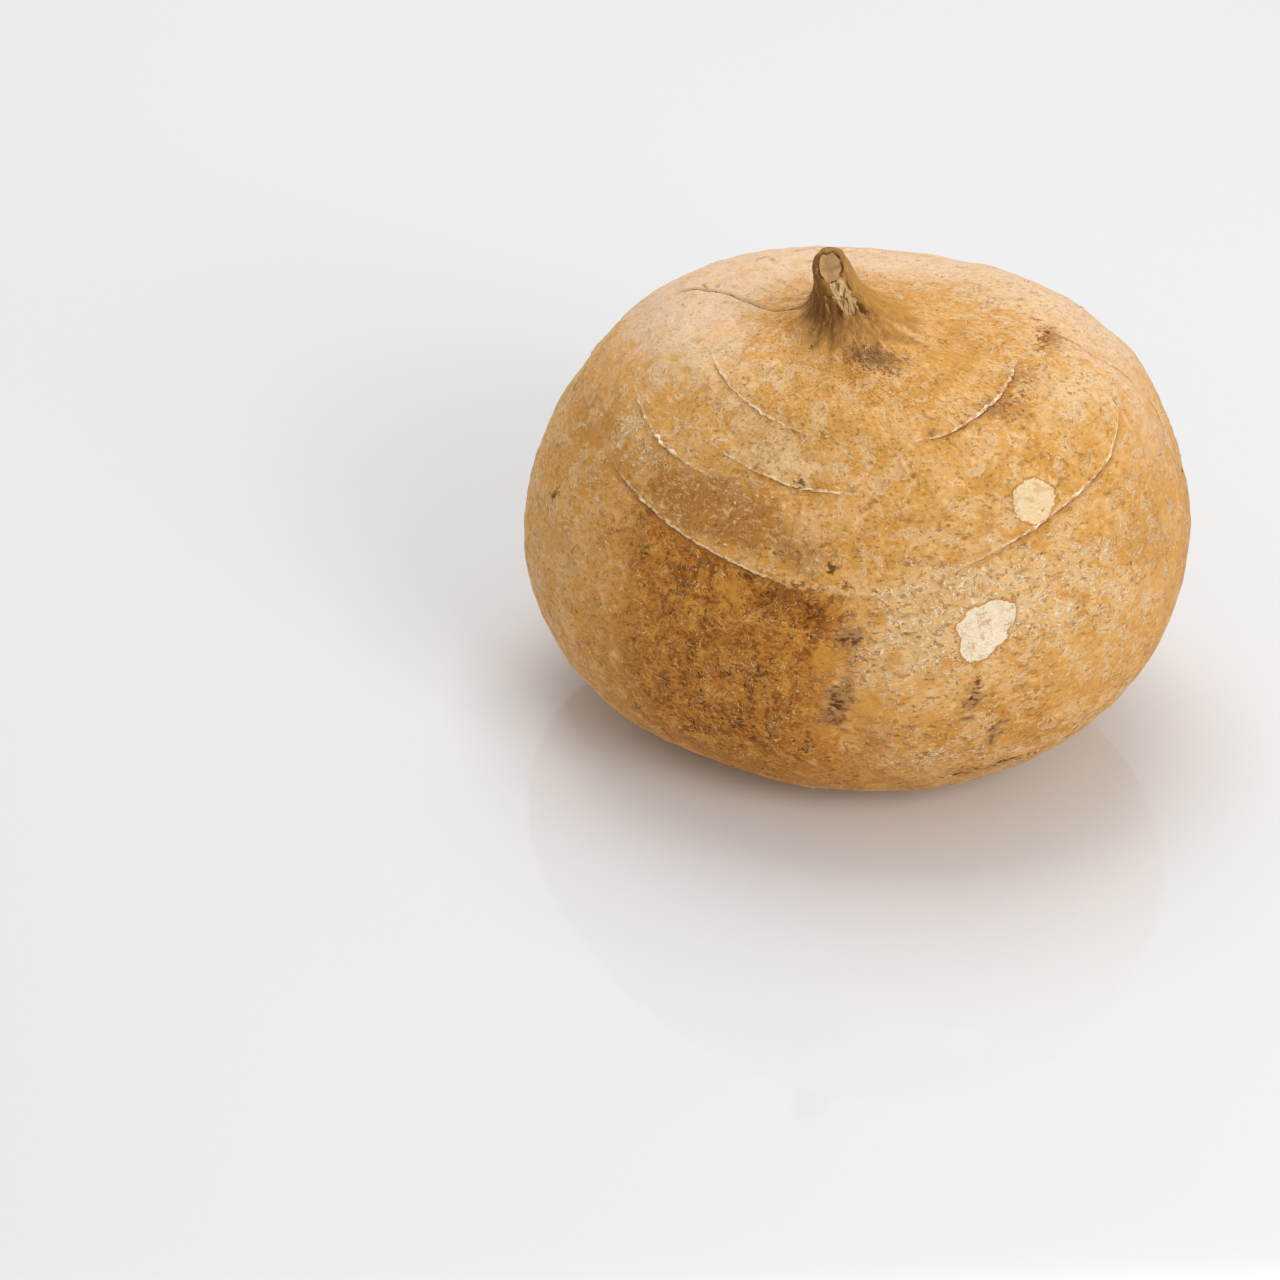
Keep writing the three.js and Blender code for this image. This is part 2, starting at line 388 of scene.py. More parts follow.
# %% Spots
# kind: [(azimuth, s, half width, half height, strength)]
SPOTS = {
    "dark": [(-101, 100.5, 1.2, 1, 1.2), (-118, 96, 1.8, 0.9, 0.8), (-113, 101.5, 3.4, 1, 0.5),
        (-126, 86, 0.8, 2.6, 0.7), (-104, 91.5, 1.8, 3, 0.6), (-128, 80, 2, 4, 0.6),
        (-38, 94, 0.6, 2.4, 0.8), (-112, 115, 1.4, 1.8, 0.7), (-95, 88.5, 3.4, 1, 0.6),
        (-95, 75.5, 2.2, 1.6, 0.6), (-70, 79.5, 1.2, 3.8, 0.6), (-78, 82, 0.9, 2.4, 0.6),
        (-116, 92, 5, 2.2, 0.35), (-66, 55, 7, 1, 0.6), (-56, 58, 6, 1.2, 0.7), (20, 88, 1.6, 2.8, 0.7),
        (76, 96, 1.1, 1.1, 0.9), (150, 84, 2.2, 3.2, 0.6), (96, 70, 3.6, 1.4, 0.6),
        (-172, 92, 1.2, 2.8, 0.6), (40, 62, 4, 1.4, 0.5), (-5, 76, 1, 3.2, 0.6),
        (-52, 163.5, 1.1, 1.7, 1.1), (-98, 163.5, 0.7, 1.8, 0.8), (-122, 160, 0.6, 0.9, 0.7),
        (-130, 152.5, 0.7, 1, 0.8), (-66, 152, 0.8, 1.2, 0.6), (-5, 135.5, 1.6, 0.7, 0.7),
        (-14, 138, 1.2, 0.8, 0.5)],
    "bruise": [(-95, 88.5, 4.2, 2.2, 0.9), (-95, 77, 3.4, 4, 0.9), (-96, 72.5, 3, 2.6, 0.6),
        (-70, 77, 1.8, 5, 0.9), (-64, 68.5, 1.8, 3.2, 1), (-86, 68, 4.5, 1.6, 0.6),
        (-58, 57, 8, 1.6, 0.8), (-55, 131, 5, 2.4, 0.5), (-62, 135, 3, 1.6, 0.5),
        (132, 72, 3.6, 4.2, 0.8), (60, 84, 5, 2.2, 0.7), (170, 104, 3.5, 2, 0.5)],
    # earth stains; on the lower left front they also paint shade
    "earth_and_shade": [(-124, 86, 24, 20, 1), (-108, 88, 14, 10, 0.6), (-137, 98, 14, 8, 0.55),
        (-104, 66, 26, 12, 0.45), (-122, 105, 16, 5, 0.45), (-130, 60, 24, 16, 0.6),
        (-90, 52, 30, 10, 0.35), (140, 78, 20, 12, 0.5), (50, 70, 18, 9, 0.4), (-170, 125, 9, 6, 0.3)],
    # amber: thin film; around the stem's foot and at the left edge it is painted shade
    "amber_and_shade": [(-60, 139, 15, 9, 0.35), (-95, 140, 10, 8, 0.3), (-20, 146, 9, 6, 0.5),
        (-31, 159, 4, 5, 1), (-92, 145, 14, 6, 0.6), (-6, 86, 18, 18, 0.8), (-74, 60, 30, 8, 0.6),
        (-30, 70, 16, 12, 0.4), (-68, 70, 16, 8, 0.6), (-168, 98, 20, 16, 0.6), (-120, 122, 18, 6, 0.4),
        (-165, 108, 16, 7, 0.5), (-140, 108, 16, 5, 0.6), (-48, 100, 10, 6, 0.5),
        (-100, 104, 16, 6, 0.4), (-58, 72, 18, 8, 0.5), (-40, 120, 6, 10, 0.5), (60, 100, 20, 9, 0.6),
        (120, 120, 14, 9, 0.5)],
    # pale film; on the crown and the back these spots are a painted sheen
    "pale": [(-150, 132, 16, 9, 0.5), (-115, 117.5, 12, 4, 0.8), (-128, 124, 9, 4, 0.5),
        (-30, 126, 12, 8, 0.5), (30, 130, 26, 14, 0.7), (90, 130, 26, 16, 0.8), (140, 132, 24, 14, 0.8),
        (170, 134, 16, 12, 0.5), (-64, 96, 12, 6, 0.4)],
    # painted sheen: a rose haze on the crown and the back
    "rose_sheen": [(60, 128, 30, 16, 1), (110, 132, 26, 16, 1), (150, 130, 20, 14, 1),
        (-178, 138, 14, 12, 0.6), (10, 126, 16, 12, 0.8), (-16, 112, 9, 9, 0.4)],
    "mauve": [(-121, 105, 13, 5, 0.9), (-140, 105, 13, 5, 0.9), (-130, 111, 14, 3, 0.4),
        (-106, 101, 6, 3.5, 0.5), (-30, 98, 12, 12, 0.4), (-52, 131, 6, 4, 0.7), (-34, 135, 6, 4, 0.6),
        (-8, 135, 5, 2, 0.7), (150, 100, 14, 7, 0.7)],
    "calm": [(60, 128, 34, 20, 1), (130, 130, 36, 20, 1), (-175, 128, 20, 18, 0.8),
        (-155, 108, 20, 10, 0.5), (-12, 114, 20, 18, 0.8), (-20, 88, 24, 20, 0.8),
        (-46, 76, 16, 12, 0.6), (-170, 90, 20, 22, 0.8), (30, 70, 30, 20, 0.6), (110, 66, 30, 14, 0.5),
        (-40, 128, 12, 8, 0.4)],
    "papery": [(-76, 93, 14, 9, 1), (-66, 96, 12, 6, 0.6), (-88, 84, 8, 7, 0.4), (-45, 88, 12, 9, 0.45),
        (-52, 100, 8, 3, 0.5), (-112, 72, 14, 9, 0.35), (-74, 62, 20, 4, 0.45), (-30, 128, 9, 7, 0.5),
        (100, 88, 16, 10, 0.8), (10, 92, 12, 9, 0.6), (-160, 112, 8, 6, 0.4)],
    "fibrous": [(-80, 154, 3.4, 3, 0.9), (-70, 151, 3, 3, 0.7), (-88, 154, 2.5, 3, 0.6),
        (-79, 147, 4, 3, 0.6)],
    "rust": [(-134, 92, 4, 4, 0.9), (-128, 96, 3, 2, 0.8), (-108, 95, 6, 2.6, 1.1),
        (-102, 91, 5, 3.4, 1), (-98, 98, 2.4, 2, 0.6), (-120, 83, 5, 4, 0.6), (-92, 84, 3.4, 2.6, 0.6),
        (-96, 72, 4, 3, 0.5), (-75, 64, 8, 2, 0.5), (-110, 64, 9, 3, 0.5), (-46, 132, 5, 2, 0.6),
        (-36, 134, 3, 2, 0.5), (-66, 130, 4, 2.4, 0.4), (-7, 136.5, 6, 1.6, 0.8), (140, 86, 7, 4, 0.6),
        (60, 74, 5, 2.6, 0.5), (20, 94, 4, 3, 0.5), (-86, 152, 3.5, 3, 0.8), (-78, 148, 3.5, 3, 0.8),
        (-100, 151, 3, 3, 0.5)],
    # darker bark: painted shade on the stub's left side, and brown at its front foot
    "umber_and_shade": [(-150, 166, 3, 8, 1), (-125, 167, 2.4, 5, 0.7), (-108, 165, 1.4, 5, 0.8),
        (165, 168, 3, 7, 0.8), (-120, 158, 3, 3, 0.4), (-175, 171, 2.5, 3.5, 1), (-86, 153, 4, 4, 0.7),
        (-72, 150, 4, 4, 0.6)],
    # painted light: the stub's right flank, lighter where the light falls
    "lit_flank": [(-8, 166, 2.6, 7, 1), (5, 160, 3.5, 6, 0.9), (60, 164, 4, 8, 0.7)],
    "worn": [(-99, 84, 4.5, 2.6, 0.9), (-90, 76, 4, 4.5, 0.9), (-86, 86, 2.2, 2.8, 0.9),
        (-96, 69.5, 6, 2.6, 0.8), (-121, 92.5, 3.6, 3, 0.9), (-60, 66, 5, 3.6, 0.7),
        (-52, 74, 5, 5, 0.6), (-60, 107, 3.4, 2.2, 0.7), (-33, 111, 4, 3, 0.6), (-92, 128, 10, 6, 0.5),
        (-40, 146, 9, 7, 0.6), (-98, 108, 12, 5, 0.35), (-130, 124, 7, 4, 0.4), (80, 82, 6, 5, 0.8),
        (155, 96, 6, 4, 0.7), (30, 76, 7, 4, 0.7)],
}


def soft_ovals(s, azimuth, table):
    """Sum of soft ovals, each strength times e to the minus squared distance over its half sizes."""
    total = np.zeros(s.shape)
    for *place, half_width, half_height, strength in table:
        u, v = on_skin(s, azimuth, place)
        total += strength * np.exp(-((u / half_width) ** 2) - (v / half_height) ** 2)
    return np.clip(total, 0, 1)


spots = {kind: soft_ovals(S, A, table) for kind, table in SPOTS.items()}
outer_s = rounded(RINGS["outer_ring"][0], np.degrees(A), 360, RING_BLUR)
# the earth stains, and the shade painted with them, stop at the tear
spots["earth_and_shade"] *= 0.15 + 0.85 * smooth((outer_s + 0.8 - S) / 1.6)    # the earth stains stop at the tear
mottle = 0.45 * waves(body, 9, 31) + 0.35 * waves(body, 4.5, 32) + 0.2 * waves(body, 2.6, 33)
print({kind: len(table) for kind, table in SPOTS.items()})

# %% [markdown]
# ## The stem stub and the root end
#
# The vine was cut off above the crown. The stub is ribbed lengthwise, its bark stands up as a dark rim
# around the cut, and below the cut a strip of bark has torn away and shows pale fibres. On the
# underside, in the middle of the flat spot, is the corky scar of the tap root.

# %% Stem and root end
RIM_S = TIP_S - 2.4             # where the bark ends and the cut face begins
FOOT_S = 153.0                  # where the skin turns to bark, and lower on the side it leans to
STUB_FRONT = -75.0              # azimuth of that side, in degrees
SCAR_RADIUS = 8.0               # mm
# the torn strip: s, then the azimuths of its two long edges
STRIP_EDGES = [(162.5, -84, -74), (164, -98, -60), (166, -100, -50), (169, -98, -42), (174, -92, -32)]


def stem_masks(s, azimuth):
    """How far a point belongs to the stem, to the cut face, to the torn strip and to the root scar."""
    radius = radius_at(s)
    drip = waves(along_skin(s, azimuth, 14, 9), 1, 21)
    front = np.cos(azimuth - math.radians(STUB_FRONT))
    stem = smooth((s - FOOT_S + 2.2 * drip + 5 * front) / 11)
    face = smooth((s - RIM_S + 0.15 * waves(along_skin(s, azimuth, 60, 3), 1, 24)) / 0.5)
    strip_s, one_edge, other_edge = np.array(STRIP_EDGES, float).T
    from_one = np.degrees(azimuth) - np.interp(s, strip_s, one_edge)
    from_other = np.interp(s, strip_s, other_edge) - np.degrees(azimuth)
    ragged = 0.16 * waves(along_skin(s, azimuth, 60, 3), 1, 22)
    inside = np.radians(np.minimum(from_one, from_other)) * radius + ragged
    on_stub = (s > strip_s[0]) & (s < RIM_S)
    strip = np.where(on_stub, np.clip(inside, -2, 2), -2)
    scar = smooth((SCAR_RADIUS + 0.8 * waves(along_skin(s, azimuth, 20, 4), 1, 23) - s) / 1.5)
    return stem, face, strip, scar


stem, cut_face, strip_mm, scar = stem_masks(S, A)
print("grid points on the cut face:", int((cut_face > 0.5).sum()))

# %% [markdown]
# ## The relief
#
# Everything that stands out or lies back is added up as one height above the smooth body, in
# millimetres, and the body's points are moved by it along their normals. Large soft dents come first,
# then the hammered look of the skin, the wrinkles that run to the stem, the steps at the tears, the
# chips and the ribs of the stub.

# %% Relief
def grid_normals(points):
    """Unit normals of a grid of points: the cross product of its two directions. It wraps around."""
    around = np.roll(points, -1, axis=1) - np.roll(points, 1, axis=1)
    along = np.gradient(points, axis=0)
    normal = np.cross(around, along)
    return normal / np.linalg.norm(normal, axis=-1, keepdims=True)


def relief(s, azimuth, points):
    """Height of the skin over the smooth body, in mm."""
    radius = radius_at(s)
    on_body = 1 - smooth((s - 140) / 18)

    height = 0.16 * waves(points, 26, 2) + 0.08 * waves(points, 11, 3)
    height += 0.06 * waves(points, 5, 4) + 0.035 * waves(points, 2.6, 5)
    height *= 0.25 + 0.75 * on_body

    # fine ring wrinkles on the crown and the shoulder, where the skin has been stretched
    ringed = waves(along_skin(s, azimuth, 34, 3.2), 1, 6)
    height += 0.05 * ringed * smooth((s - 88) / 25) * on_body

    # wrinkles that run out from the stem and fade on the crown
    radial = waves(along_skin(s, azimuth, 8, 22), 1, 7)
    height += 0.13 * radial * smooth((s - 134) / 20) * (1 - smooth((s - 163) / 6))

    # ribs along the stub
    ribs = waves(np.stack([4 * np.cos(azimuth), 4 * np.sin(azimuth), s / 10], axis=-1), 2.6, 8)
    height += 0.09 * ribs * smooth((s - 155) / 8) * smooth((RIM_S + 1 - s) / 6)

    # the skin below a tear lies back and comes up again over a few millimetres
    below = smooth(-crack_mm / 0.3) * np.exp(np.minimum(crack_mm, 0) / 2.2)
    above = np.exp(-((crack_mm - 0.5) / 0.6) ** 2)
    height += crack["step"] * (0.35 * above - below)
    height -= 0.14 * crack["gap"] * np.exp(-((crack_mm + 0.25) / 0.35) ** 2)

    # a chip is as deep as the skin is thick, and the skin curls up a little around it
    height -= 0.28 * smooth((chip_mm + 0.15) / 0.5)
    height += 0.10 * np.exp(-((chip_mm + 0.6) / 0.5) ** 2)

    height -= 0.30 * spots["dark"] ** 2 + 0.12 * spots["bruise"]
    height += 0.10 * spots["bruise"] * waves(points, 1.9, 9)

    # the torn strip is sunk into the bark and has fibres along it
    fibres = waves(along_skin(s, azimuth, 8.5, 9), 1, 10)
    height -= smooth((strip_mm + 0.1) / 0.5) * (0.3 + 0.12 * fibres)

    # bark stands up around the cut, and the cut face is uneven
    rim = np.exp(-((s - RIM_S) / 0.9) ** 2)
    height += 0.3 * rim * (1 + 0.9 * waves(points, 2.8, 13))
    height += cut_face * (0.16 * waves(points, 2.2, 11) - 0.35)

    # the root scar: a shallow ring with a corky middle
    height -= scar * (0.35 + 0.25 * np.cos(2 * np.pi * radius / 3.4) + 0.1 * waves(points, 1.8, 12))
    return height


normals = grid_normals(body)
height = relief(S, A, body)
skin = body + height[..., None] * normals
skin[..., 2] = np.maximum(skin[..., 2], 0)      # nothing reaches below the surface it rests on
print(f"relief: {height.min():.2f} to {height.max():.2f} mm")

# %% [markdown]
# ## From the grid to a mesh
#
# The grid is a long strip of quads wrapped around the axis. Its two open ends are closed with a fan of
# triangles to one point each, in the middle of the flat spot and of the cut. The distances and
# strengths found above go along as attributes, one number a point, so that the finish can read them.

# %% Skin mesh
def mesh_piece(name, points, faces, **attributes):
    """A piece from points in mm and faces. An attribute has one number or three for each point."""
    mesh = bpy.data.meshes.new(name)
    mesh.from_pydata((points * MM).tolist(), [], faces)
    mesh.shade_smooth()
    for key, values in attributes.items():
        kind, slot = ("FLOAT", "value") if values.ndim == 1 else ("FLOAT_VECTOR", "vector")
        data = mesh.attributes.new(key, kind, "POINT").data
        data.foreach_set(slot, values.astype(np.float32).ravel())
    piece = bpy.data.objects.new(name, mesh)
    scene.collection.objects.link(piece)
    return piece


def wrapped_quads(rows, columns, first=0):
    """Numbers of the points of a grid that wraps around its columns, and the quads between them."""
    index = np.arange(rows * columns).reshape(rows, columns) + first
    right = np.roll(index, -1, axis=1)
    return index, np.stack([index[:-1], right[:-1], right[1:], index[1:]], axis=-1).reshape(-1, 4)


def closed_grid(name, points, **attributes):
    """A piece from a (rows, columns, 3) grid that wraps around its columns, with both ends closed at
    their middle. Each attribute is a grid of the same size."""
    rows, columns = points.shape[:2]

    def with_ends(grid):
        flat = grid.reshape(rows * columns, -1)
        return np.vstack([flat, flat[:columns].mean(axis=0), flat[-columns:].mean(axis=0)]).squeeze()

    index, quads = wrapped_quads(rows, columns)
    bottom = np.full(columns, rows * columns)
    lower = np.stack([bottom, np.roll(index[0], -1), index[0]], axis=-1)
    upper = np.stack([bottom + 1, index[-1], np.roll(index[-1], -1)], axis=-1)
    faces = quads.tolist() + lower.tolist() + upper.tolist()
    return mesh_piece(name, with_ends(points), faces, **{k: with_ends(v) for k, v in attributes.items()})


carried = {
    "crack_mm": crack_mm, "lip": crack["lip"], "gap": crack["gap"], "chip_mm": chip_mm,
    **spots, "mottle": mottle, "stem": stem, "cut_face": cut_face, "strip_mm": strip_mm, "scar": scar,
}
stretched = {
    "lengthwise": along_skin(S, A, 1, 2), "crosswise": along_skin(S, A, 1.8, 1),
    "barkwise": np.stack([body[..., 0], body[..., 1], S / 5], axis=-1),
}
root_skin = closed_grid("root_skin", skin, **carried, **stretched)
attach(root_skin, "root")
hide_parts("jicama_root")
print("root_skin:", len(root_skin.data.vertices), "points,", len(root_skin.data.polygons), "faces")

# %% [markdown]
# ## The corky skin
#
# The skin of a jicama is cork: thin dead layers, dry and slightly waxy, golden tan where they are
# whole and cream where they have shredded. An image of a skin would be the easy way, but it would
# show seams and fixed light. Here the finish is a stack of thin layers, each with a colour and a height
# in millimetres. A layer's mask is a product of bands, and each band is a range of some field: a noise
# of a known size in millimetres, or a distance or strength that the mesh carries. So one table says
# everything about the skin's colour and grain, and one loop turns it into nodes.

# %% Colours and nodes
def colour(text):
    """'#rrggbb' as linear RGBA. A channel c is c / 12.92 up to 0.04045, else ((c + 0.055) / 1.055)^2.4."""
    channels = [int(text[k:k + 2], 16) / 255 for k in (1, 3, 5)]
    linear = [c / 12.92 if c <= 0.04045 else ((c + 0.055) / 1.055) ** 2.4 for c in channels]
    return (*linear, 1)


def add(tree, kind, inputs=(), out=0, **settings):
    """Adds a node of a kind and gives one of its outputs. `inputs` is a list of sockets in order or a
    dict by name; each is linked if it is another node's output, and set to the value if it isn't."""
    node = tree.nodes.new("ShaderNode" + kind)
    for key, value in settings.items():
        setattr(node, key, value)
    pairs = inputs.items() if isinstance(inputs, dict) else enumerate(inputs)
    for key, value in pairs:
        if isinstance(value, bpy.types.NodeSocket):
            tree.links.new(value, node.inputs[key])
        else:
            node.inputs[key].default_value = value
    return node.outputs[out]


def finish(name, constants):
    """A new material and its node tree, with constants set on the shader's own sockets."""
    material = bpy.data.materials.new(name)
    material.use_nodes = True
    shader = material.node_tree.nodes["Principled BSDF"]
    for socket, value in constants.items():
        shader.inputs[socket].default_value = value
    return material, material.node_tree, shader


def layered(tree, shader, tint, fields, layers):
    """Turns a table of layers into nodes. Every band is smoothstep of (field - low) / (high - low);
    a mask is the opacity times its bands; the colour is mixed by the mask, and the height in mm is the
    sum of mask times rise."""
    height = 0.0
    for layer_tint, opacity, rise, *bands in layers:
        mask = opacity
        for field, low, high in bands:
            span = {"Value": fields[field], "From Min": low, "From Max": high}
            level = add(tree, "MapRange", span, interpolation_type="SMOOTHSTEP")
            mask = add(tree, "Math", [level, mask], operation="MULTIPLY")
        if layer_tint:
            tint = add(tree, "MixRGB", [mask, tint, colour(layer_tint)])
        if rise:
            height = add(tree, "Math", [mask, rise, height], operation="MULTIPLY_ADD")
    tree.links.new(tint, shader.inputs["Base Color"])
    bump = add(tree, "Bump", {"Distance": MM, "Height": height})
    tree.links.new(bump, shader.inputs["Normal"])


# %% What the skin's layers are made from
# name: (coordinates, size in mm, detail, roughness, distortion). "mm" has the same size all ways,
# "lengthwise" is drawn out from the root end to the stem, "crosswise" around the root, and
# "barkwise" up the stub
NOISES = {
    "film": ("mm", 2.6, 3, 0.6, 0.8),
    "flake": ("crosswise", 1.1, 2, 0.6, 0.6),
    "speck": ("crosswise", 0.5, 1, 0.5, 0),
    "curl": ("mm", 1.3, 0, 0.5, 2),
    "streak": ("lengthwise", 2.2, 3, 0.6, 0),
    "fibre": ("barkwise", 0.7, 2, 0.6, 0.4),
}
NOISE_STEP = 0.7                # a noise of scale 1 has bumps about 0.7 apart
LINES = ("curl",)               # noises that are folded at their middle, which leaves thin curved lines

# name: (strength or distance on the mesh, noise, how far the noise moves its edge). Each kind of spot
# gets a ragged copy of itself that ends in _patch
RAGGED_FIELDS = {
    "tear": ("crack_mm", "flake", 1.2), "chip": ("chip_mm", "flake", 2), "tone": ("mottle", "film", 2.6),
}
WOBBLES = {
    "film": {"pale": 2, "rose_sheen": 1.6, "mauve": 1.6, "amber_and_shade": 1.6, "earth_and_shade": 1.8, "papery": 2, "worn": 1.4,
             "stem": 2},
    "flake": {"rust": 3, "bruise": 2.2, "fibrous": 1.6},
    "speck": {"dark": 1.8},
}
for noise, kinds in WOBBLES.items():
    RAGGED_FIELDS |= {kind + "_patch": (kind, noise, wobble) for kind, wobble in kinds.items()}
PORE_SPACING = 4.2              # mm between the lenticels, the skin's small dark breathing pores

# bands that several layers share: (field, low, high)
# the first band lies inside the earth stains and the shade painted with them, the other two clear of them
STAINED_AND_SHADED, CLEAR_OF_STAIN_AND_SHADE, WELL_CLEAR_OF_STAIN_AND_SHADE = ("earth_and_shade_patch", 0.3, 0.9), ("earth_and_shade_patch", 0.5, 0.1), ("earth_and_shade_patch", 0.7, 0.2)
PAPERY, LIVELY = ("papery_patch", 0.1, 0.6), ("calm", 1.3, 0.2)

